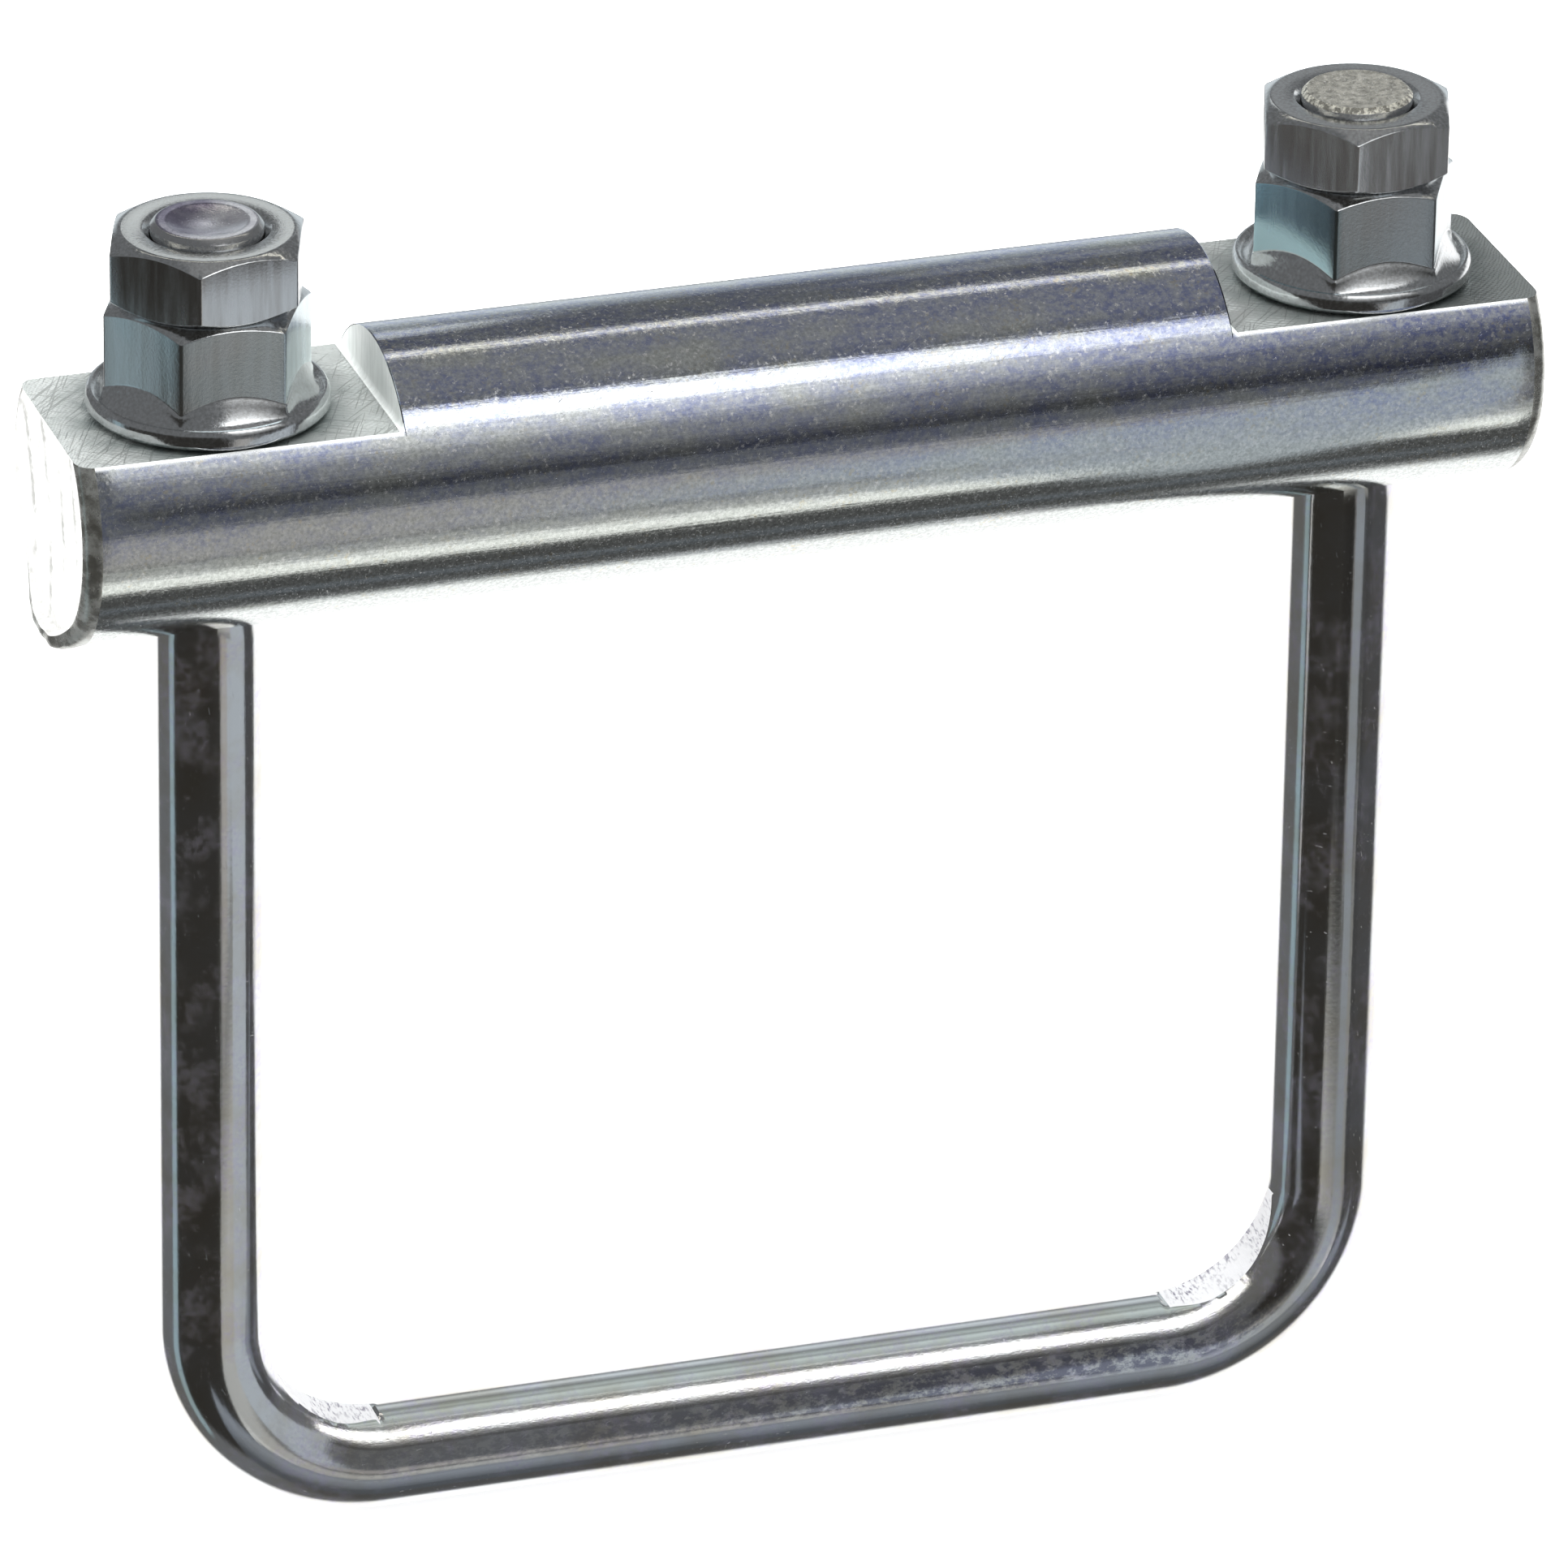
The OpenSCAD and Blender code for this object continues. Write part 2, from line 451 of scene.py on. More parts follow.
def bar_rows():
    """(x of the lower part, x of the top, radius, height limit of the top) from the middle outwards."""
    rows = [(x, x, BAR_R, None) for x in spread(0, MIDDLE_HALF - 1.4, 16)]
    rows.append((MIDDLE_HALF - 0.09, MIDDLE_HALF - 0.08, BAR_R, None))
    rows.append((MIDDLE_HALF - 0.05, MIDDLE_HALF, BAR_R - 0.07, None))
    for up in (3.2, 2.4, 1.6, 1.0):
        rows.append((MIDDLE_HALF - up * 0.012, MIDDLE_HALF, BAR_R, FLAT_UP + up))
    for t in spread(0, math.pi / 2, 5):
        x = MIDDLE_HALF + STEP_FILLET * (1 - math.cos(t))
        up = STEP_FILLET * (1 - math.sin(t))
        rows.append((x, x, BAR_R, FLAT_UP + up))
    start = MIDDLE_HALF + STEP_FILLET
    for x in spread(start, BAR_HALF - END_ROUND, 14)[1:]:
        rows.append((x, x, BAR_R, FLAT_UP))
    for t in spread(0, math.pi / 2, 7)[1:]:
        x = BAR_HALF - END_ROUND * (1 - math.sin(t))
        rows.append((x, x, BAR_R - END_ROUND * (1 - math.cos(t)), FLAT_UP))
    return rows


def bar_point(sign, row, angle, on_top):
    """One point of the bar's skin, with its axis at height zero."""
    x_low, x_top, radius, limit = row
    y, z = math.cos(angle), math.sin(angle)
    if not on_top:
        radius = radius if x_low > BAR_HALF - END_ROUND else BAR_R
        return Vector((sign * x_low, radius * y, radius * z))
    if limit is None:
        return Vector((sign * x_top, radius * y, radius * z))
    reach = math.sqrt(max(radius ** 2 - limit ** 2, 0.0)) if limit <= FLAT_UP + 1e-6 else None
    if reach is not None:
        return Vector((sign * x_top, y * BAR_R * reach / FLAT_HALF_W, limit))
    return Vector((sign * x_top, radius * y, min(limit, radius * z)))


def end_burr(place, sign):
    """Cropping left a turned-over lip under the left end of the bar."""
    if sign > 0 or abs(place.x) < BAR_HALF - BURR_REACH:
        return place
    low = smooth_step(-0.66, -0.97, place.z / BAR_R)
    near = smooth_step(BAR_HALF - BURR_REACH, BAR_HALF - 0.1, abs(place.x))
    ragged = 1.0 + 0.15 * noise.noise(Vector((place.y * 0.7, 2.0, 7.0)))
    return place + BURR * (low * near * ragged)


def bar_finish(row, on_top):
    """Finish of the band that ends at a row."""
    if not on_top and row[0] > BAR_HALF - END_ROUND + 0.01:
        return "edge"
    if not on_top or row[3] is None:
        return "round"
    return "wall" if row[3] > FLAT_UP + 0.02 else "milled"


def bar_end(shell, sign, ring):
    """The cropped end face, a little domed and uneven."""
    edge = [shell.points[i].copy() for i in ring]
    before = ring
    for f in (0.985, 0.95, 0.88, 0.8, 0.7, 0.6, 0.5, 0.4, 0.3, 0.2, 0.1):
        places = []
        for p in edge:
            y, z = p.y * f, p.z * f
            rough = 0.05 * noise.noise(Vector((y * 0.5, z * 0.5, 3.0 + sign)))
            dome = 0.1 * (1 - f * f) - 0.1
            x = BAR_HALF + dome + rough - 0.02
            if f > 0.96:
                x = abs(p.x)
            places.append(Vector((sign * x, y, z)))
        inner = shell.ring(places)
        shell.band(before, inner, "cropped")
        before = inner
    shell.fan(before, shell.point((sign * (BAR_HALF - 0.02), 0, 0)), "cropped")


def make_bar_shell():
    shell = Shell()
    columns = bar_columns()
    rows = bar_rows()
    middle = shell.ring([bar_point(1, rows[0], a, top) for a, top in columns])
    for sign in (-1, 1):
        before = middle
        for k in range(1, len(rows)):
            places = [end_burr(bar_point(sign, rows[k], a, top), sign) for a, top in columns]
            ring = shell.ring(places)
            for i in range(len(columns)):
                j = (i + 1) % len(columns)
                top = columns[i][1] and columns[j][1]
                finish = bar_finish(rows[k], top)
                shell.face([before[i], before[j], ring[j], ring[i]], finish)
            before = ring
        bar_end(shell, sign, before)
    return shell


def hole_cutter(x, materials):
    """A tall pin that drills one leg hole."""
    shell = Shell()
    rings = []
    ends = (-BAR_R - 3, BAR_R + 3)
    steps = spread(0, 2 * math.pi, 72)[:-1]
    for z in ends:
        rings.append(shell.ring([(x + HOLE_R * math.cos(a), HOLE_R * math.sin(a), z) for a in steps]))
    shell.band(rings[0], rings[1], "round")
    for ring, z in zip(rings, ends):
        shell.fan(ring, shell.point((x, 0, z)), "round")
    return shell.make("hole_cutter", materials, 0.0)


def make_cross_bar(materials):
    blank = make_bar_shell().make("bar_blank", materials, 2.0)
    cutters = [hole_cutter(x, materials) for x in (-LEG_X, LEG_X)]
    for cutter in cutters:
        drill = blank.modifiers.new("drill", "BOOLEAN")
        drill.operation = "DIFFERENCE"
        drill.solver = "EXACT"
        drill.object = cutter
    graph = bpy.context.evaluated_depsgraph_get()
    mesh = bpy.data.meshes.new_from_object(blank.evaluated_get(graph))
    for name in ("lay", "seed"):
        if name in mesh.attributes:
            mesh.attributes.remove(mesh.attributes[name])
    lay = [v.co / MM for v in mesh.vertices]
    for vertex in mesh.vertices:
        vertex.co.z += BAR_Z * MM
    finish_mesh(mesh, lay, 2.0, 30.0)
    for item in [blank] + cutters:
        bpy.data.objects.remove(item)
    piece = place_object("cross_bar_round", mesh)
    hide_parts("cross_bar")
    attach(piece, "cross_bar")
    return piece


# ---------------------------------------------------------------- nuts

def hexagon_angles():
    """Angles round the hexagon from a corner, close together at the rounded corners."""
    centre = (NUT_FLAT - NUT_CORNER_ROUND) / math.cos(math.radians(30))
    reach = centre + NUT_CORNER_ROUND * math.cos(math.radians(30))
    tangent = math.atan2(NUT_CORNER_ROUND / 2, reach)
    found = []
    for k in range(6):
        corner = math.radians(60 * k)
        found += [corner + a for a in spread(-tangent, tangent, 6)]
        found += [corner + a for a in spread(tangent, math.radians(60) - tangent, 12)[1:-1]]
    return found


def hexagon_radius(angle):
    """Distance from the axis to the side of the hexagon, whose corners are rounded."""
    off = abs((angle + math.radians(30)) % math.radians(60) - math.radians(30))
    centre = (NUT_FLAT - NUT_CORNER_ROUND) / math.cos(math.radians(30))
    reach = centre + NUT_CORNER_ROUND * math.cos(math.radians(30))
    if off < math.atan2(NUT_CORNER_ROUND / 2, reach):
        across = centre * math.sin(off)
        return centre * math.cos(off) + math.sqrt(NUT_CORNER_ROUND ** 2 - across ** 2)
    return NUT_FLAT / math.cos(math.radians(30) - off)


def corner_drop(radius):
    """How far the corner chamfer has come down at a radius."""
    return max(0.0, (radius - NUT_FACE_R) * CHAMFER_SLOPE)


def top_rows(height):
    """Rows over the top of a nut, from the side of its hexagon in to the bore."""
    return [
        (lambda h: (h, height - corner_drop(h) - 0.09), "side"),
        (lambda h: (h - 0.012, height - corner_drop(h) - 0.035), "turned"),
        (lambda h: (h - 0.06, height - corner_drop(h - 0.06) - 0.005), "turned"),
        (lambda h: (h * 0.4 + NUT_FACE_R * 0.6 + 0.02, height - 0.4 * corner_drop(h) - 0.01), "turned"),
        (lambda h: (NUT_FACE_R + 0.07, height - 0.035), "turned"),
        (lambda h: (NUT_FACE_R - 0.03, height - 0.006), "turned"),
        (lambda h: (NUT_FACE_R - 0.2, height), "turned"),
        (lambda h: (BORE_R + COUNTERSINK + 0.14, height), "turned"),
        (lambda h: (BORE_R + COUNTERSINK + 0.03, height - 0.03), "turned"),
        (lambda h: (BORE_R + 0.04, height - COUNTERSINK + 0.02), "bore"),
        (lambda h: (BORE_R, height - COUNTERSINK - 0.04), "bore"),
    ]


def lock_nut_rows():
    """Rows from the foot of the bore, out under the nut, up its sides and in over its top."""
    height = LOCK_NUT_H
    under = [(lambda h, row=row: (row(h)[0], height - row(h)[1]), name)
             for row, name in reversed(top_rows(height))]
    names = [name for row, name in under]
    shifted = [(row, names[min(k + 1, len(names) - 1)]) for k, (row, name) in enumerate(under)]
    return shifted[:-1] + [(under[-1][0], "side")] + top_rows(height)


def cone_height(radius):
    """Height at which the flange meets the hexagon's side, at a distance from the axis."""
    rim = FLANGE_R - RIM_LIP
    t = (rim - radius) / (rim - NUT_FLAT)
    return BEAD_FOOT + CONE_RISE * (0.92 * t + 0.08 * t * t)


def pocket_point(side, t):
    """A point of the hollow between the flange's bead, at 0, and a hexagon's side, at 1."""
    start = FLANGE_R - BEAD
    rise = cone_height(side) - BEAD_FOOT
    bowed = 0.35 * t + 0.65 * t * t
    return (start + (side + 0.1 - start) * t, BEAD_FOOT + rise * bowed)


# (distance in from the rim, height) round the flange's edge and over its bead
FLANGE_RIM = [(0.8, 0.0), (0.35, 0.22), (0.08, 0.46), (0.0, 0.62), (0.0, 1.1), (0.05, 1.36),
              (0.14, 1.56), (0.27, 1.68), (0.42, 1.71), (0.57, 1.65), (0.69, 1.56)]


def flange_nut_rows():
    """Rows from the foot of the bore, out under the flange, round its rim and up the hexagon."""
    rows = [
        (lambda h: (BORE_R, COUNTERSINK + 0.04), "bore"),
        (lambda h: (BORE_R + 0.04, COUNTERSINK - 0.02), "bore"),
        (lambda h: (BORE_R + COUNTERSINK, 0.0), "turned"),
    ]
    for back, z in FLANGE_RIM:
        rows.append((lambda h, back=back, z=z: (FLANGE_R - back, z), "turned"))
    for t in (0.0, 0.14, 0.28, 0.42, 0.56, 0.7, 0.85, 1.0):
        rows.append((lambda h, t=t: pocket_point(h, t), "turned"))
    rows += [
        (lambda h: (h + 0.03, cone_height(h) + 0.1), "turned"),
        (lambda h: (h, cone_height(h) + 0.22), "side"),
    ]
    return rows + top_rows(FLANGE_NUT_H)


def make_nut(name, node, sign, base_z, turn, rows, materials, seed):
    shell = Shell()
    angles = hexagon_angles()
    first = None
    before = None
    finish_before = None
    for row, finish in rows:
        places = []
        for a in angles:
            r, z = row(hexagon_radius(a))
            places.append((r * math.cos(a + turn), r * math.sin(a + turn), z))
        ring = shell.ring(places)
        if before is None:
            first = ring
        else:
            shell.band(before, ring, finish_before)
        before = ring
        finish_before = finish
    shell.band(before, first, "bore")
    piece = shell.make(name, materials, seed, 24.0, offset=(sign * LEG_X, 0, base_z))
    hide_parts(node)
    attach(piece, node)
    return piece


def make_nuts(materials):
    turn = math.radians(LOCK_NUT_TURN)
    for side, sign in (("left", -1), ("right", 1)):
        node = side + "_flange_nut"
        make_nut(node + "_body", node, sign, FLAT_Z, 0.0,
                 flange_nut_rows(), materials, 5.0 + sign)
        node = side + "_lock_nut"
        make_nut(node + "_body", node, sign, LOCK_LOW.z, turn,
                 lock_nut_rows(), materials, 9.0 + sign)


# ---------------------------------------------------------------- node helpers

class Tree:
    """A small helper round a node tree. Values may be numbers, colours or sockets."""

    def __init__(self, tree):
        self.tree = tree
        self.nodes = tree.nodes
        self.nodes.clear()

    def put(self, socket, value):
        if isinstance(value, bpy.types.NodeSocket):
            self.tree.links.new(value, socket)
        elif value is not None:
            socket.default_value = value

    def add(self, kind, inputs=None, **settings):
        node = self.nodes.new(kind)
        for name, value in settings.items():
            setattr(node, name, value)
        for name, value in (inputs or {}).items():
            self.put(node.inputs[name], value)
        return node

    def end(self, kind, shader):
        """The output node of the tree, fed by a shader node."""
        self.add(kind, {"Surface": shader.outputs[0]})

    def math(self, operation, a, b=None, c=None, clamp=False):
        node = self.add("ShaderNodeMath", operation=operation, use_clamp=clamp)
        for socket, value in zip(node.inputs, (a, b, c)):
            self.put(socket, value)
        return node.outputs[0]

    def times(self, first, *others):
        for other in others:
            first = self.math("MULTIPLY", first, other)
        return first

    def plus(self, a, b):
        return self.math("ADD", a, b)

    def minus(self, a, b):
        return self.math("SUBTRACT", a, b)

    def vector(self, operation, a, b=None):
        node = self.add("ShaderNodeVectorMath", operation=operation)
        self.put(node.inputs[0], a)
        self.put(node.inputs[1], b)
        return node.outputs["Value" if operation in ("DOT_PRODUCT", "LENGTH") else "Vector"]

    def split(self, vector):
        """The x, y and z of a vector."""
        return self.add("ShaderNodeSeparateXYZ", {"Vector": vector}).outputs

    def join(self, x, y):
        """A vector from its x and y, at height zero."""
        return self.add("ShaderNodeCombineXYZ", {"X": x, "Y": y}).outputs[0]

    def noise(self, vector, scale, detail=2.0, rough=0.5, seed=None):
        inputs = {"Vector": vector, "Scale": scale, "Detail": detail, "Roughness": rough}
        if seed is None:
            return self.add("ShaderNodeTexNoise", inputs, noise_dimensions="3D").outputs["Fac"]
        node = self.add("ShaderNodeTexNoise", inputs, noise_dimensions="4D")
        self.put(node.inputs["W"], seed)
        return node.outputs["Fac"]

    def remap(self, value, low, high, to_low=0.0, to_high=1.0, smooth=False):
        kind = "SMOOTHSTEP" if smooth else "LINEAR"
        node = self.add("ShaderNodeMapRange", interpolation_type=kind)
        for name, number in (("Value", value), ("From Min", low), ("From Max", high),
                             ("To Min", to_low), ("To Max", to_high)):
            self.put(node.inputs[name], number)
        return node.outputs["Result"]

    def mix(self, factor, a, b):
        node = self.add("ShaderNodeMix", data_type="RGBA", clamp_factor=True)
        self.put(node.inputs[0], factor)
        self.put(node.inputs[6], a)
        self.put(node.inputs[7], b)
        return node.outputs[2]

    def over(self, colour, share, strength, paint):
        """A colour with paint laid over a share of it."""
        return self.mix(self.times(share, strength), colour, paint)

    def relief(self, *layers):
        """Bumps laid over one another, each as (pattern, height in millimetres)."""
        normal = None
        for pattern, height in layers:
            node = self.add("ShaderNodeBump", {"Height": pattern, "Distance": height * MM, "Strength": 1.0})
            self.put(node.inputs["Normal"], normal)
            normal = node.outputs["Normal"]
        return normal


def grey(value, tint=(1.0, 1.0, 1.0)):
    return (value * tint[0], value * tint[1], value * tint[2], 1.0)


class Plating(Tree):
    """A zinc-plated surface. Patterns read the point attributes in millimetres."""

    def __init__(self, name):
        self.material = bpy.data.materials.new(name)
        self.material.use_nodes = True
        super().__init__(self.material.node_tree)
        self.lay = self.add("ShaderNodeAttribute", attribute_name="lay").outputs["Vector"]
        self.seed = self.add("ShaderNodeAttribute", attribute_name="seed").outputs["Fac"]

    def grain(self, scale, **settings):
        """Noise that differs from piece to piece. Its scale is one number, or one along each axis."""
        if isinstance(scale, tuple):
            drawn_out = self.vector("MULTIPLY", self.lay, scale)
            return self.noise(drawn_out, 1.0, seed=self.seed, **settings)
        return self.noise(self.lay, scale, seed=self.seed, **settings)

    def grains(self, scale, low, high, **settings):
        """A noise pattern as 0 to 1 between two of its levels."""
        return self.remap(self.grain(scale, **settings), low, high)

    def scratches(self, directions, length, width, share):
        """Sparse thin lines: noise drawn out along each direction, cut off near its top."""
        total = None
        for k, angles in enumerate(directions):
            turn = self.add("ShaderNodeVectorRotate", {"Vector": self.lay}, rotation_type="EULER_XYZ")
            self.put(turn.inputs["Rotation"], angles)
            thin = self.vector("MULTIPLY", turn.outputs[0], (1 / length, 1 / width, 1 / width))
            level = self.noise(thin, 1.0, detail=0.0, seed=self.plus(self.seed, 3.7 * k))
            line = self.remap(level, share, share + 0.03)
            total = line if total is None else self.math("MAXIMUM", total, line)
        return total

    def done(self, colour, roughness, normal, metallic=1.0):
        shader = self.add("ShaderNodeBsdfPrincipled")
        self.put(shader.inputs["Base Color"], colour)
        self.put(shader.inputs["Roughness"], roughness)
        self.put(shader.inputs["Metallic"], metallic)
        self.put(shader.inputs["Normal"], normal)
        self.end("ShaderNodeOutputMaterial", shader)
        return self.material


# ---------------------------------------------------------------- materials: U-bolt

def rod_painted_shade(m, colour, along, down, bottom):
    """Painted shade: a darker patch on the inside of the right leg, and dark violet blotches in a band
    along the bottom run.
    """
    # painted shade on the right leg
    right_leg_painted_shade = m.times(m.remap(along, 140.0, 160.0), m.remap(down, -1.3, -0.4))
    right_leg_painted_shade = m.times(right_leg_painted_shade, m.remap(down, 1.0, 0.4), 0.55)
    colour = m.mix(right_leg_painted_shade, colour, grey(0.26, (0.97, 1.0, 1.04)))
    # painted shade: dark violet blotches kept to a band at one facing angle of the bottom run
    front = m.times(m.remap(down, -2.2, -1.7), m.remap(down, 0.1, -0.3))
    blotches = m.grains((0.9, 1.5, 1.5), 0.42, 0.54, detail=4.0, rough=0.7)
    blotches = m.times(blotches, m.remap(along, 84.0, 120.0, 0.3, 0.85))
    return m.mix(m.times(bottom, front, blotches), colour, grey(0.24, (0.95, 0.97, 1.3)))


def rod_material():
    """Bright drawn rod: nearly a mirror, with die lines along it, specks and thin dried stains, and painted
    shade on the right leg and along the bottom run.
    """
    m = Plating("bright_rod")
    along, down, _ = m.split(m.lay)
    bottom = m.times(m.remap(along, 62.0, 76.0), m.remap(along, 150.0, 138.0))
    lines = m.grain((0.06, 2.6, 2.6), detail=3.0, rough=0.6)
    orange_peel = m.grain(2.2, detail=3.0, rough=0.55)
    brown = m.grains(0.16, 0.42, 0.62, detail=4.0, rough=0.65)
    violet = m.times(m.grains(0.21, 0.47, 0.56, detail=5.0, rough=0.7), m.grains(2.4, 0.35, 0.6))
    specks = m.grains(4.0, 0.67, 0.74, detail=1.0)
    pits = m.scratches([(0.0, 0.0, 0.2), (0.4, 0.9, 1.3)], 1.2, 0.07, 0.83)
    colour = m.mix(brown, grey(0.78, (0.98, 1.0, 1.01)), grey(0.68, (1.01, 0.98, 0.9)))
    colour = m.over(colour, violet, 0.5, (0.62, 0.58, 0.74, 1.0))
    colour = m.over(colour, pits, 0.7, grey(0.95))
    # painted shade on the right leg and along the bottom run
    colour = rod_painted_shade(m, colour, along, down, bottom)
    worn = m.times(m.remap(down, -3.4, -3.0), m.remap(down, -1.9, -2.4), bottom)
    roughness = m.math("MULTIPLY_ADD", specks, 0.12, m.remap(lines, 0.3, 0.7, 0.09, 0.15))
    roughness = m.math("MULTIPLY_ADD", worn, 0.05, roughness)
    rub_marks_and_painted_shadow = m.times(m.grain((2.2, 5.0, 5.0), detail=3.0, rough=0.7), worn)
    normal = m.relief((lines, 0.006), (orange_peel, 0.004), (pits, 0.01), (rub_marks_and_painted_shadow, 0.016))
    return m.done(colour, roughness, normal, m.minus(1.0, m.times(violet, 0.03)))


def thread_material():
    """Rolled thread: satin."""
    m = Plating("rolled_thread")
    grain = m.grain(6.0, detail=3.0)
    colour = m.mix(grain, grey(0.62), grey(0.78, (0.98, 1.0, 1.02)))
    return m.done(colour, m.remap(grain, 0.3, 0.7, 0.13, 0.24), m.relief((grain, 0.004)))


def cup_material():
    """Rolled-in cup of the left leg's tip, painted pale at the front right and dark violet at the back
    left: painted shade with a painted violet sheen.
    """
    m = Plating("tip_cup")
    _, x, y = m.split(m.lay)
    clouds = m.grains(0.7, 0.35, 0.65, detail=3.0)
    grain = m.grain(6.0, detail=2.0)
    across = m.minus(m.times(y, 0.8), x)
    # painted shade: pale at the front right, dark violet at the back left
    shade = m.math("MULTIPLY_ADD", clouds, -0.5, m.remap(across, -1.6, 2.2, 0.2, 1.2), clamp=True)
    colour = m.mix(shade, grey(0.9, (0.97, 0.97, 1.03)), grey(0.3, (0.95, 0.88, 1.2)))
    return m.done(colour, m.remap(grain, 0.3, 0.7, 0.16, 0.28), m.relief((grain, 0.012)), 0.97)


def pressed_material():
    """Where the bending tool has crushed the plating: pale and matt, with short violet creases."""
    m = Plating("pressed_bend")
    creases = m.grain((3.0, 1.1, 1.1), detail=3.0, rough=0.65)
    dark = m.times(m.remap(creases, 0.5, 0.62), m.grains(0.35, 0.42, 0.6, detail=2.0))
    colour = m.mix(dark, grey(0.6, (0.99, 0.99, 1.01)), grey(0.16, (0.92, 0.86, 1.15)))
    return m.done(colour, m.remap(creases, 0.3, 0.7, 0.35, 0.5), m.relief((creases, 0.05)), 0.4)


def tip_material():
    """Cropped face of the right leg's tip: grainy, a little yellow."""
    m = Plating("cropped_tip")
    grain = m.grain(2.2, detail=5.0, rough=0.75)
    spots = m.grains(6.0, 0.6, 0.7, detail=1.0)
    dark = grey(0.2, (1.0, 0.98, 0.86))
    colour = m.mix(m.remap(grain, 0.36, 0.64), dark, grey(0.56, (1.0, 0.98, 0.88)))
    colour = m.over(colour, spots, 0.7, grey(0.8))
    return m.done(colour, m.remap(grain, 0.3, 0.7, 0.3, 0.46), m.relief((grain, 0.16)), 0.8)


def torn_material():
    """Torn shoulder round the cropped tip: bright specks on a dull yellowish ground."""
    m = Plating("torn_shoulder")
    grain = m.grain(3.2, detail=4.0, rough=0.7)
    yellow = (1.0, 0.98, 0.86)
    colour = m.mix(m.remap(grain, 0.46, 0.6), grey(0.24, yellow), grey(0.85, yellow))
    return m.done(colour, m.remap(grain, 0.3, 0.7, 0.22, 0.36), m.relief((grain, 0.08)), 0.82)


# ---------------------------------------------------------------- materials: cross bar

def cropped_material():
    """Cropped steel under the plating: pale, matt and torn, with faint arcs of the shear."""
    m = Plating("cropped_end")
    grain = m.grain(2.6, detail=5.0, rough=0.65)
    broken = m.grain((1.0, 0.3, 0.5), detail=3.0)
    apart = m.vector("SUBTRACT", m.lay, (0.0, 16.0, -3.0))
    bent = m.plus(m.vector("LENGTH", apart), m.times(grain, 0.5))
    arcs = m.math("SINE", m.times(bent, 5.6))
    arcs = m.times(m.remap(arcs, 0.8, 1.0), m.remap(broken, 0.46, 0.6))
    pale = grey(0.74, (1.0, 1.0, 0.99))
    colour = m.mix(m.remap(grain, 0.35, 0.68), grey(0.52, (1.0, 1.0, 0.96)), pale)
    colour = m.over(colour, arcs, 0.7, grey(0.26, (1.0, 1.0, 0.95)))
    normal = m.relief((grain, 0.06), (arcs, 0.04))
    return m.done(colour, m.remap(grain, 0.3, 0.7, 0.42, 0.62), normal, 0.4)


def edge_material():
    """The rolled-over edge round the bar's ends, dull and mottled."""
    m = Plating("end_edge")
    clouds = m.grain((0.8, 0.8, 0.8), detail=4.0, rough=0.65)
    dark = grey(0.24, (1.0, 0.99, 0.88))
    colour = m.mix(m.remap(clouds, 0.38, 0.62), dark, grey(0.6, (0.98, 1.0, 0.95)))
    return m.done(colour, m.remap(clouds, 0.3, 0.7, 0.2, 0.34), m.relief((clouds, 0.03)), 0.93)


def wall_material():
    """Walls that the end mill left at the two ends of the middle, pale with upright cutter lines."""
    m = Plating("milled_wall")
    lines = m.grain((1.0, 3.2, 0.3), detail=3.0, rough=0.6)
    clouds = m.grains(0.5, 0.35, 0.65, detail=2.0)
    pale = grey(0.86, (0.96, 1.0, 0.98))
    colour = m.mix(m.remap(lines, 0.35, 0.65), grey(0.68, (0.95, 1.0, 0.97)), pale)
    colour = m.over(colour, clouds, 0.3, grey(0.66, (0.92, 1.0, 0.98)))
    return m.done(colour, m.remap(lines, 0.3, 0.7, 0.3, 0.45), m.relief((lines, 0.02)), 0.2)


def bar_tints_and_painted_sheen(m, colour, grain, mottle, x, z):
    """Violet-blue mottles, part plating tint and part painted sheen, on the top side beside the highlights;
    a few yellow crystals; white glints painted into the colour, fewer underneath; with the glints.
    """
    cells = m.add("ShaderNodeTexVoronoi", {"Vector": m.lay, "Scale": 4.6}, feature="F1")
    tone = m.add("ShaderNodeSeparateColor", {"Color": cells.outputs["Color"]})
    # violet tint, partly the plating's own and partly painted sheen: kept to the top side, where the
    # highlights fall
    upper = m.grains((0.14, 0.3, 0.3), 0.34, 0.56, detail=3.0, rough=0.6)
    upper = m.times(upper, m.remap(z, -2.5, 2.5))
    # dark blue, partly plating tint and partly painted sheen beside the highlights
    blue = m.times(m.remap(mottle, 0.4, 0.62, smooth=True), upper)
    blue = m.times(blue, m.remap(x, 10.0, BAR_HALF, 0.6, 0.95))
    warm = m.times(m.remap(tone.outputs[1], 0.8, 1.0), m.grains(0.4, 0.5, 0.64, detail=2.0))
    # white glints painted into the colour, fading towards the underside
    painted_glints = m.times(m.remap(tone.outputs[2], 0.88, 0.92), m.remap(grain, 0.46, 0.6))
    painted_glints = m.times(painted_glints, m.remap(z, -6.0, 0.0, 0.25, 1.0))
    colour = m.over(colour, upper, m.remap(x, -MIDDLE_HALF, 0.0, 0.26, 0.42), (0.58, 0.62, 0.84, 1.0))
    colour = m.mix(blue, colour, (0.25, 0.30, 0.60, 1.0))
    colour = m.over(colour, warm, 0.5, (0.70, 0.62, 0.42, 1.0))
    return m.over(colour, painted_glints, 0.8, grey(1.0)), painted_glints


def flat_edge_highlight(m, mottle, x, z):
    """Share of a painted highlight: a bright line along the long edges of the flats."""
    below = m.minus(FLAT_UP, z)
    rim = m.times(m.remap(below, 0.3, 0.06), m.remap(below, -0.2, -0.1))
    ends = m.remap(m.math("ABSOLUTE", x), MIDDLE_HALF, MIDDLE_HALF + 0.3)
    return m.times(rim, ends, m.remap(mottle, 0.36, 0.5, 0.5, 1.0))


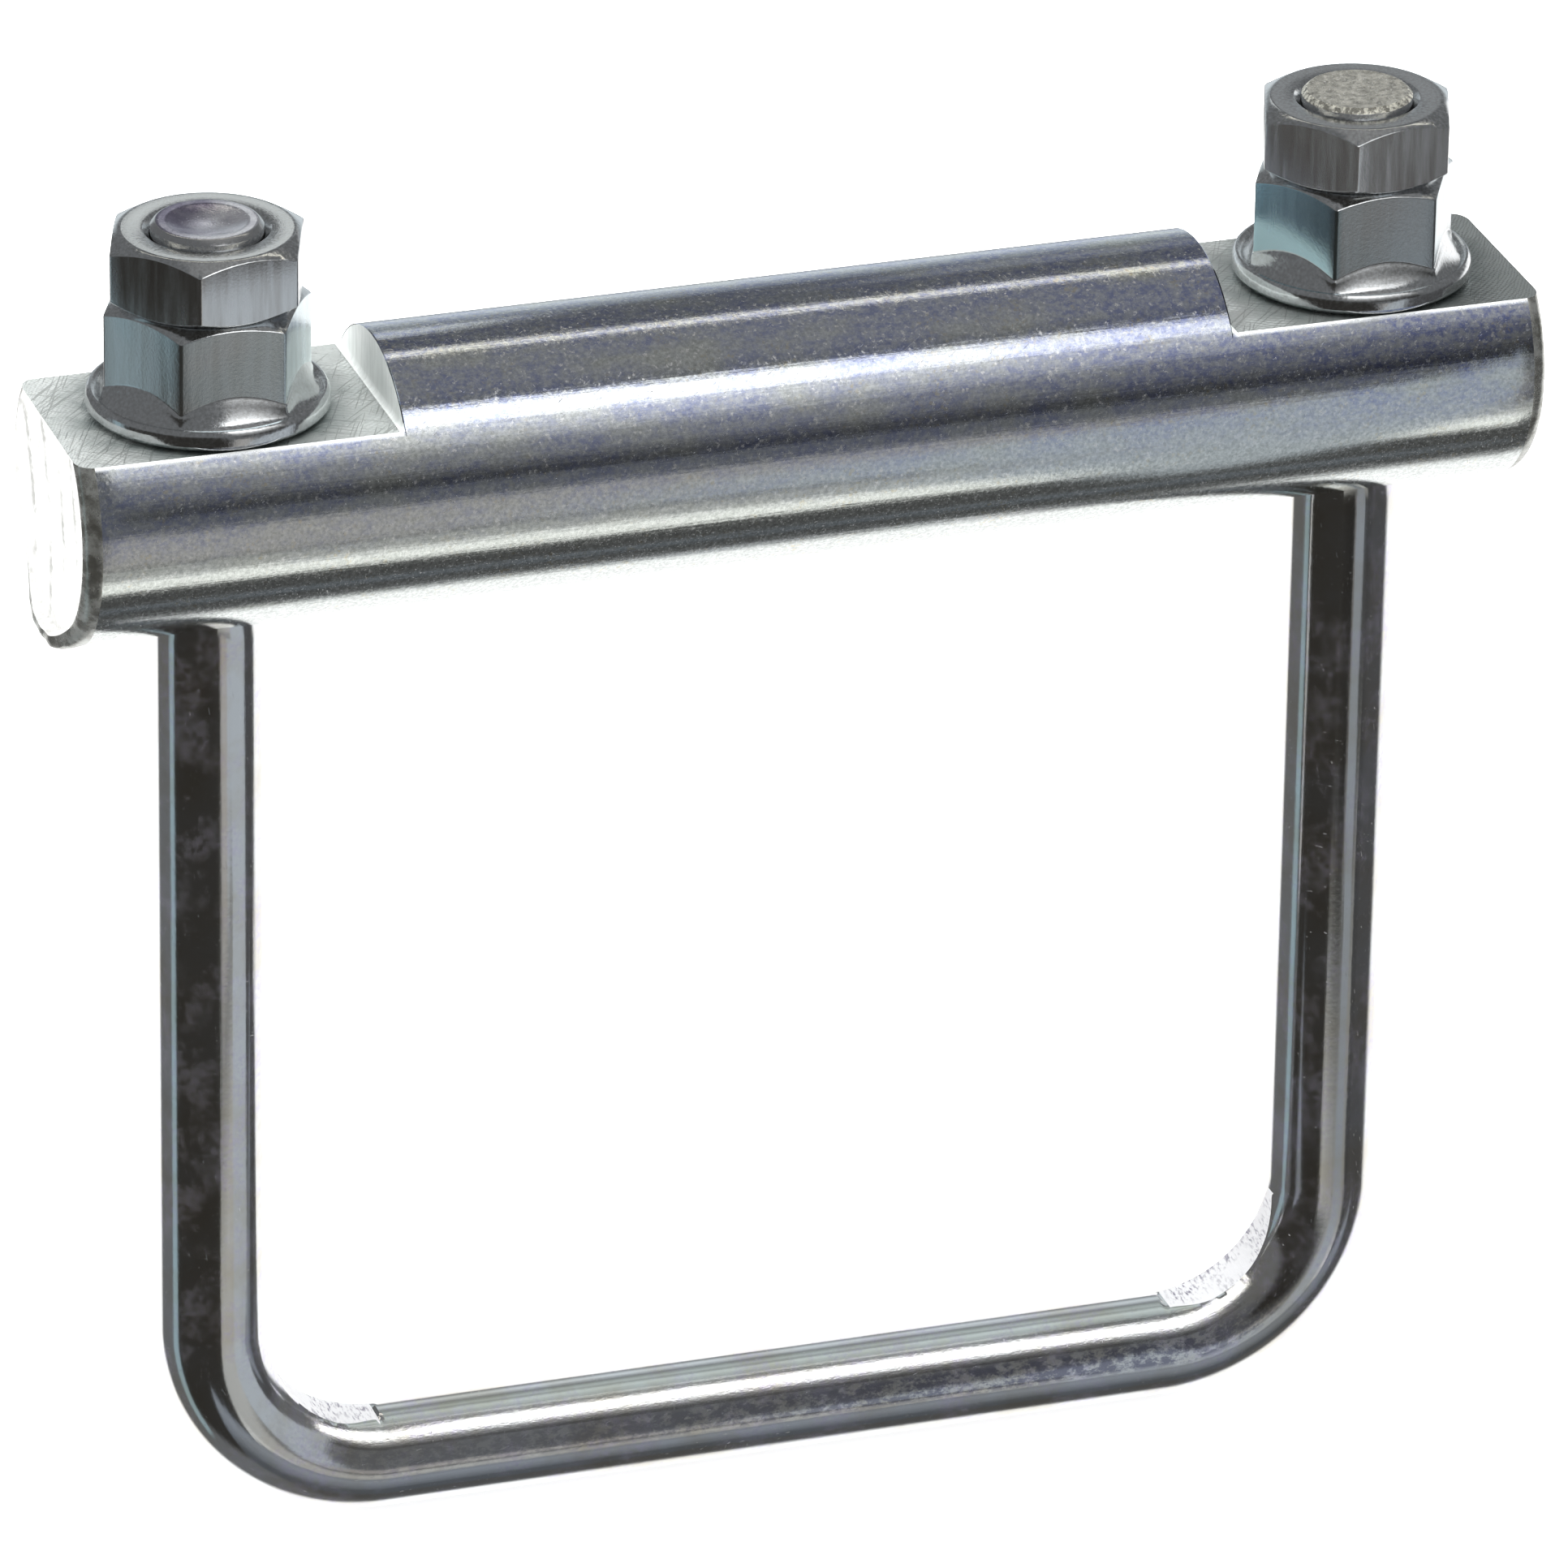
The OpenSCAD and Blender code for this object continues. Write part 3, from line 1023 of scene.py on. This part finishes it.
def bar_material():
    """Plated drawn bar: satin and sparkling, with violet-blue mottles, draw lines and handling marks. Its
    white glints and the bright line along the flats' edges are painted highlights, and the violet-blue on
    the top side is partly painted sheen.
    """
    m = Plating("satin_bar")
    x, _, z = m.split(m.lay)
    grain = m.grain(3.6, detail=3.0, rough=0.7)
    mottle = m.grain((1.5, 2.0, 2.0), detail=5.0, rough=0.75)
    lines = m.grain((0.03, 1.5, 1.5), detail=5.0, rough=0.7)
    fine_lines = m.grain((0.12, 5.0, 5.0), detail=2.0)
    nicks = m.scratches([(0.0, 0.0, 1.2), (0.9, 0.4, 1.9), (2.1, 0.2, 0.6)], 1.8, 0.08, 0.79)
    # painted highlight along the long edges of the flats
    rim = flat_edge_highlight(m, mottle, x, z)
    pale = grey(0.88, (0.96, 1.0, 0.98))
    colour = m.mix(m.remap(grain, 0.36, 0.66), grey(0.56, (0.95, 1.0, 0.97)), pale)
    colour = m.over(colour, m.remap(lines, 0.42, 0.3), 0.5, grey(0.44, (1.0, 0.97, 0.9)))
    colour, painted_glints = bar_tints_and_painted_sheen(m, colour, grain, mottle, x, z)
    colour = m.over(colour, nicks, 0.7, grey(0.95))
    # the painted highlight line: pale, rougher and less metallic
    colour = m.mix(rim, colour, grey(0.9, (0.97, 1.0, 0.99)))
    roughness = m.remap(m.plus(grain, m.times(lines, 0.5)), 0.5, 1.0, 0.08, 0.15)
    roughness = m.math("MULTIPLY_ADD", painted_glints, 0.14, roughness)
    roughness = m.math("MULTIPLY_ADD", rim, 0.25, roughness)
    normal = m.relief((lines, 0.008), (fine_lines, 0.003), (mottle, 0.007), (grain, 0.004), (nicks, 0.008))
    return m.done(colour, roughness, normal, m.minus(1.0, m.times(rim, 0.6)))


def cutter_arcs(m, x, y):
    """Two crossing sets of shallow arcs from an end mill fed across the bar. Both cross fully at the
    outer end of a flat."""
    cutter = 14.0
    feed = 0.5
    across = m.minus(m.math("ABSOLUTE", x), LEG_X - 1.5)
    inside = m.minus(cutter ** 2, m.times(across, across))
    depth = m.math("SQRT", m.math("MAXIMUM", inside, 0.01))
    wobble = m.times(m.grain(0.8, detail=4.0, rough=0.6), 0.9)
    leading = m.plus(m.plus(y, depth), wobble)
    trailing = m.plus(m.minus(y, depth), wobble)
    front, back = [m.math("ABSOLUTE", m.math("SINE", m.times(path, math.pi / feed)))
                   for path in (leading, trailing)]
    worn = m.grains(0.3, 0.4, 0.6, detail=2.0)
    outer = m.remap(m.math("ABSOLUTE", x), LEG_X + 3.0, LEG_X + 9.0)
    arcs = m.times(front, m.math("MAXIMUM", worn, outer))
    return m.plus(arcs, m.times(back, m.math("MAXIMUM", 0.35, outer)))


def milled_painted_shade(m, colour, arcs, clouds, x, y):
    """Painted shade, darker towards the right end, and a painted shadow in a ring round the leg, by the
    flange's edge.
    """
    # painted shade: darker towards the right end
    middle = m.remap(x, -10.0, LEG_X, 0.0, 0.4)
    dull = m.math("MAXIMUM", middle, m.remap(x, LEG_X + 5.0, LEG_X + 8.0, 0.0, 0.62))
    right_shade_colour = m.mix(m.remap(arcs, 0.6, 1.3), grey(0.22), grey(0.5, (0.93, 1.0, 0.98)))
    colour = m.mix(dull, colour, right_shade_colour)
    # painted shadow in a ring round the leg, just outside the flange
    from_leg = m.vector("LENGTH", m.join(m.minus(m.math("ABSOLUTE", x), LEG_X), y))
    rub_marks_and_painted_shadow = m.remap(from_leg, FLANGE_R + 2.6, FLANGE_R - 0.2)
    rub_marks_and_painted_shadow = m.times(rub_marks_and_painted_shadow, m.remap(clouds, 0.0, 1.0, 0.55, 0.95))
    return m.mix(rub_marks_and_painted_shadow, colour, grey(0.17, (0.84, 1.0, 0.98)))


def milled_material():
    """Milled flats: pale grey, scratched, with the cutter's arcs, and painted shade towards the right end
    and round the legs.
    """
    m = Plating("milled_flat")
    x, y, _ = m.split(m.lay)
    arcs = cutter_arcs(m, x, y)
    grain = m.grain(3.0, detail=4.0, rough=0.6)
    clouds = m.grains(0.45, 0.38, 0.62, detail=3.0)
    cuts = m.scratches([(0.0, 0.0, 0.5), (0.0, 0.0, -0.8), (0.0, 0.0, 2.0)], 5.0, 0.14, 0.68)
    # painted shade: the grooves are darker towards the right end
    shallow = m.remap(x, -LEG_X, LEG_X, 0.52, 0.4)
    groove = m.mix(shallow, grey(0.24, (0.94, 1.0, 0.97)), grey(0.9, (0.96, 1.0, 0.98)))
    colour = m.mix(m.remap(arcs, 0.45, 1.35), groove, grey(0.82, (0.96, 1.0, 0.98)))
    colour = m.over(colour, clouds, 0.5, grey(0.62, (0.93, 1.0, 0.97)))
    colour = m.over(colour, cuts, 0.6, grey(0.28, (0.95, 1.0, 0.97)))
    colour = m.over(colour, m.remap(grain, 0.52, 0.4), 0.3, grey(0.4, (0.95, 1.0, 0.97)))
    # painted shade towards the right end and painted shadow round the legs
    colour = milled_painted_shade(m, colour, arcs, clouds, x, y)
    normal = m.relief((arcs, 0.018), (cuts, 0.03), (grain, 0.02))
    metallic = m.remap(x, LEG_X + 2.0, LEG_X + 7.0, 0.68, 0.97)
    return m.done(colour, m.remap(grain, 0.3, 0.7, 0.26, 0.42), normal, metallic)


# ---------------------------------------------------------------- materials: nuts

def side_tints_and_painted_light(m, colour):
    """Teal on the flange nuts' sides: random patches of tint, a painted teal reflection on one side of the
    right nut, and painted shade on its front.
    """
    flange_nut = m.remap(m.seed, 7.5, 6.5)
    on_right = m.remap(m.seed, 5.0, 6.0)
    left_face_painted_reflection, front_face_painted_shade = [m.remap(m.vector("DOT_PRODUCT", m.lay, away), 5.9, 6.4)
                             for away in ((-0.866, -0.5, 0.0), (0.0, -1.0, 0.0))]
    patches = m.times(m.grains(0.1, 0.44, 0.58, detail=2.0), 0.3)
    # painted teal reflection on the right flange nut's left-front face
    teal_tint_and_reflection = m.math("MAXIMUM", patches, m.times(left_face_painted_reflection, on_right, 0.8))
    colour = m.over(colour, teal_tint_and_reflection, flange_nut, (0.56, 0.82, 0.9, 1.0))
    # painted shade on the right flange nut's front face
    return m.mix(m.times(front_face_painted_shade, flange_nut, on_right, 0.5), colour, grey(0.32, (0.98, 1.0, 1.02)))


def nut_side_material():
    """Sides of the hexagons: upright rub marks from the die, white glints painted into the colour, and a
    painted teal reflection and painted shade on the right flange nut.
    """
    m = Plating("nut_sides")
    streaks = m.grain((1.3, 1.3, 0.13), detail=3.0, rough=0.55)
    grain = m.grain(5.0, detail=3.0, rough=0.7)
    dark = grey(0.64, (1.0, 0.99, 0.97))
    colour = m.mix(m.remap(streaks, 0.34, 0.66, smooth=True), dark, grey(0.86, (0.98, 1.0, 1.01)))
    colour = side_tints_and_painted_light(m, colour)
    # white glints painted into the colour
    colour = m.over(colour, m.remap(grain, 0.62, 0.72), 0.5, grey(0.95))
    normal = m.relief((streaks, 0.006), (grain, 0.01))
    metallic = m.remap(m.seed, 9.0, 10.0, 1.0, 0.965)
    return m.done(colour, m.remap(streaks, 0.3, 0.7, 0.16, 0.28), normal, metallic)


def nut_turned_material():
    """Chamfers, tops and flanges: brighter and smoother, with faint turning marks."""
    m = Plating("nut_turned")
    x, y, z = m.split(m.lay)
    radius = m.vector("LENGTH", m.join(x, y))
    rings = m.noise(m.join(m.times(radius, 6.0), z), 1.0, detail=3.0, seed=m.seed)
    grain = m.grain(4.0, detail=3.0)
    pale = grey(0.84, (0.97, 1.0, 1.02))
    colour = m.mix(m.remap(grain, 0.35, 0.65), grey(0.66, (0.98, 1.0, 1.0)), pale)
    normal = m.relief((rings, 0.006), (grain, 0.008))
    return m.done(colour, m.remap(grain, 0.3, 0.7, 0.1, 0.24), normal)


def bore_material():
    """Inside of the nuts: duller, where the plating is thin."""
    m = Plating("nut_bore")
    grain = m.grain(5.0, detail=3.0)
    colour = m.mix(grain, grey(0.42), grey(0.66, (0.98, 1.0, 1.02)))
    return m.done(colour, m.remap(grain, 0.3, 0.7, 0.28, 0.45), m.relief((grain, 0.01)))


# ---------------------------------------------------------------- studio

def new_material(name):
    """A material with an empty node tree, and the helper round that tree."""
    material = bpy.data.materials.new(name)
    material.use_nodes = True
    return material, Tree(material.node_tree)


def floor_material():
    """Pale studio paper with a very faint tooth."""
    material, m = new_material("studio_paper")
    place = m.add("ShaderNodeTexCoord").outputs["Object"]
    tooth = m.noise(place, 900.0, detail=2.0)
    shader = m.add("ShaderNodeBsdfPrincipled", {
        "Base Color": m.mix(tooth, grey(0.90), grey(0.93)),
        "Roughness": 0.9,
        "Emission Color": grey(1.0),
        "Emission Strength": 0.75,
        "Specular IOR Level": 0.0,
    })
    m.end("ShaderNodeOutputMaterial", shader)
    return material


def direction(azimuth, elevation):
    """Unit vector at an azimuth from +X towards +Y and an elevation, in degrees."""
    a, e = math.radians(azimuth), math.radians(elevation)
    return Vector((math.cos(a) * math.cos(e), math.sin(a) * math.cos(e), math.sin(e)))


def sky_patch(m, ray, azimuth, elevation, half_w, half_h, soft):
    """Share from 0 to 1 of a soft-edged oblong patch of the surroundings, sized in degrees."""
    centre = direction(azimuth, elevation)
    side = direction(azimuth + 90, 0)
    up = centre.cross(side)
    ahead = m.vector("DOT_PRODUCT", ray, tuple(centre))
    share = m.math("GREATER_THAN", ahead, 0.0)
    for axis, half in ((side, half_w), (up, half_h)):
        along = m.vector("DOT_PRODUCT", ray, tuple(axis))
        angle = m.math("ABSOLUTE", m.math("ARCTAN2", along, ahead))
        full = math.radians(max(half - soft, 0.0))
        edge = m.remap(angle, math.radians(half + soft), full, smooth=True)
        share = m.times(share, edge)
    return share


def sky_disc(m, ray, azimuth, elevation, radius, soft):
    """Share from 0 to 1 of a soft-edged round patch of the surroundings, sized in degrees."""
    along = m.vector("DOT_PRODUCT", ray, tuple(direction(azimuth, elevation)))
    low = math.cos(math.radians(radius + soft))
    high = math.cos(math.radians(max(radius - soft, 0.0)))
    return m.remap(along, low, high, smooth=True)


def make_surroundings():
    """What the metal mirrors: a grey room, dark on the camera's side, white paper behind and below."""
    world = bpy.data.worlds.new("studio")
    world.use_nodes = True
    bpy.context.scene.world = world
    m = Tree(world.node_tree)
    ray = m.add("ShaderNodeTexCoord").outputs["Generated"]
    colour = grey(0.155, (0.98, 1.0, 1.03))
    layers = [
        (sky_patch(m, ray, -137, -27, 50, 38, 4), grey(0.034, (1.06, 1.0, 0.92))),
        (sky_patch(m, ray, -26, -27, 27, 26, 4), grey(0.08, (1.0, 1.0, 1.04))),
        (sky_patch(m, ray, 165, -27, 6, 34, 1.5), grey(0.43, (0.76, 1.0, 1.1))),
        (sky_disc(m, ray, 20, 76, 20, 8), grey(0.26)),
        (sky_disc(m, ray, -50, -68, 16, 6), grey(0.09)),
        (sky_patch(m, ray, -73, -24, 8, 14, 3), grey(0.42, (1.04, 1.0, 0.96))),
        (sky_disc(m, ray, 57, -30, 45, 6), grey(1.35)),
        (sky_patch(m, ray, 59, 56, 30, 1.2, 0.6), grey(2.6, (1.05, 1.0, 0.86))),
    ]
    for share, paint in layers:
        colour = m.mix(share, colour, paint)
    path = m.add("ShaderNodeLightPath")
    colour = m.mix(path.outputs["Is Diffuse Ray"], colour, grey(1.1))
    colour = m.mix(path.outputs["Is Camera Ray"], colour, grey(1.0))
    m.end("ShaderNodeOutputWorld", m.add("ShaderNodeBackground", {"Color": colour}))


def card_material(name, tint, peak, levels, right=1.0, under=False):
    """Light of a card, by height: levels are (share of its height, share of its peak). The peak fades
    to a share of itself at the right, and a card that lights what is under it is clear from above."""
    material, m = new_material(name)
    place = m.split(m.add("ShaderNodeTexCoord").outputs["Generated"])
    strength = levels[0][1]
    for (low, dim), (high, bright) in zip(levels, levels[1:]):
        rise = m.remap(place[1 if under else 2], low, high, 0.0, bright - dim, smooth=True)
        strength = m.plus(strength, rise)
    fade = m.remap(place[0], 0.3, 0.66, peak, peak * right)
    shader = m.add("ShaderNodeEmission", {"Color": tint, "Strength": m.times(strength, fade)})
    if under:
        lit = shader.outputs[0]
        below = m.add("ShaderNodeNewGeometry").outputs["Backfacing"]
        shader = m.add("ShaderNodeMixShader", {"Fac": below})
        m.put(shader.inputs[1], m.add("ShaderNodeBsdfTransparent").outputs[0])
        m.put(shader.inputs[2], lit)
    m.end("ShaderNodeOutputMaterial", shader)
    return material


def mirror_card(name, low_a, low_b, high_b, high_a, tint, peak, levels=((0, 1), (1, 1)), **kind):
    """A bright card that only shows as a reflection in the metal. Its corners are in millimetres."""
    mesh = bpy.data.meshes.new(name)
    corners = [Vector(c) * MM for c in (low_a, low_b, high_b, high_a)]
    mesh.from_pydata(corners, [], [(0, 1, 2, 3)])
    mesh.materials.append(card_material(name, tint, peak, levels, **kind))
    card = place_object(name, mesh)
    card.visible_camera = False
    card.visible_diffuse = False
    card.visible_shadow = False


def upright_card(name, x, y, z, tint, peak, levels=((0, 1), (1, 1)), **kind):
    """A card parallel to the bar: x and z are (low, high)."""
    corners = ((x[0], y, z[0]), (x[1], y, z[0]), (x[1], y, z[1]), (x[0], y, z[1]))
    mirror_card(name, *corners, tint, peak, levels, **kind)


def level_card(name, x, y, z, tint, peak, levels):
    """A level card that lights only what is under it: x and y are (low, high)."""
    corners = ((x[0], y[0], z), (x[1], y[0], z), (x[1], y[1], z), (x[0], y[1], z))
    mirror_card(name, *corners, tint, peak, levels, under=True)


def make_cards():
    key = ((0.0, 0.02), (0.21, 0.12), (0.4, 0.34), (0.53, 0.5), (0.6, 1.0), (0.9, 1.0), (1.0, 0.14))
    upright_card("key_card", (-20, 180), -131, (90, 365), grey(1.0), 2.5, key, right=0.5)
    low = ((0.0, 0.1), (0.08, 1.0), (0.5, 1.0), (0.6, 0.62), (0.72, 0.36), (0.87, 0.42), (1.0, 0.12))
    upright_card("low_card", (-30, 200), -208, (-265, -60), grey(1.0, (1.0, 1.0, 0.96)), 1.2, low)
    back = ((0.0, 0.2), (0.06, 0.4), (0.43, 1.0), (0.6, 0.8), (0.8, 0.5), (1.0, 0.3))
    upright_card("back_card", (-70, 180), 142, (40, 150), grey(1.0, (0.93, 1.0, 1.04)), 0.8, back)
    upright_card("top_card", (18, 60), 258, (200, 275), grey(1.0, (0.97, 1.0, 0.99)), 0.8)
    upright_card("right_top_card", (100, 156), 258, (200, 275), grey(1.0, (0.97, 1.0, 1.02)), 0.3)
    over = ((0.0, 0.7), (0.3, 1.0), (0.45, 0.5), (0.6, 0.75), (1.0, 0.4))
    level_card("over_card", (-16, 62), (6, 52), 60, grey(1.0, (0.9, 1.0, 0.98)), 0.75, over)
    front = ((0.0, 0.2), (0.3, 1.0), (1.0, 1.0))
    level_card("rod_key_card", (-14, 62), (-42, -12), 60, grey(1.0), 2.3, front)
    dim = ((0.0, 0.35), (0.5, 0.35), (0.68, 0.6), (0.8, 0.8), (0.93, 1.0), (1.0, 0.8))
    upright_card("rod_low_card", (-60, 90), -30, (-75, -12), grey(1.0, (0.9, 0.98, 1.1)), 0.3, dim)
    mirror_card("side_card", (70, -52, -50), (112, -380, -196), (112, -380, -50), (70, -52, 92),
                grey(1.0, (0.93, 1.0, 1.07)), 0.5)


def soft_light(name, place, target, size, watts):
    """A square studio light that neither the camera nor the metal's reflections show."""
    data = bpy.data.lights.new(name, "AREA")
    data.shape = "SQUARE"
    data.size = size
    data.energy = watts
    lamp = place_object(name, data)
    lamp.location = place
    lamp.rotation_euler = (Vector(target) - Vector(place)).to_track_quat("-Z", "Y").to_euler()
    lamp.visible_camera = False
    lamp.visible_glossy = False


def make_floor():
    half = 4.0
    mesh = bpy.data.meshes.new("floor")
    corners = [(-half, -half, 0), (half, -half, 0), (half, half, 0), (-half, half, 0)]
    mesh.from_pydata(corners, [], [(0, 1, 2, 3)])
    mesh.materials.append(floor_material())
    floor = place_object("floor", mesh)
    floor.location.z = CAD_LOW.z - 0.0001
    floor.visible_glossy = False


def make_lights():
    middle = (CAD_LOW + CAD_HIGH) / 2
    soft_light("overhead_box", (0.1, 0.1, 1.6), middle, 1.8, 62.0)
    soft_light("left_box", (-0.5, 0.16, 0.3), middle, 0.3, 2.6)


CAMERA_PLACE = Vector((-0.27015, -0.80463, 0.45587))
CAMERA_TARGET = Vector((0.0003, 0.0, 0.05329))
CAMERA_ROLL = 0.90
CAMERA_LENS = 302.24


def make_camera():
    """A long lens from the front left, looking down about 25 degrees."""
    data = bpy.data.cameras.new("camera")
    data.lens = CAMERA_LENS
    data.sensor_width = 36.0
    data.clip_start = 0.05
    data.clip_end = 50.0
    camera = place_object("camera", data)
    back = (CAMERA_PLACE - CAMERA_TARGET).normalized()
    level_right = Vector((0, 0, 1)).cross(back).normalized()
    level_up = back.cross(level_right)
    roll = math.radians(CAMERA_ROLL)
    right = math.cos(roll) * level_right + math.sin(roll) * level_up
    up = back.cross(right)
    turned = Matrix((right, up, back)).transposed().to_4x4()
    camera.matrix_world = Matrix.Translation(CAMERA_PLACE) @ turned
    bpy.context.scene.camera = camera


def build():
    make_camera()
    materials = {
        "rod": rod_material(),
        "pressed": pressed_material(),
        "thread": thread_material(),
        "cup": cup_material(),
        "tip": tip_material(),
        "torn": torn_material(),
        "cropped": cropped_material(),
        "round": bar_material(),
        "milled": milled_material(),
        "wall": wall_material(),
        "edge": edge_material(),
        "side": nut_side_material(),
        "turned": nut_turned_material(),
        "bore": bore_material(),
    }
    make_u_bolt(materials)
    make_cross_bar(materials)
    make_nuts(materials)
    make_surroundings()
    make_cards()
    make_floor()
    make_lights()
    bpy.context.scene.view_settings.view_transform = "Standard"


build()
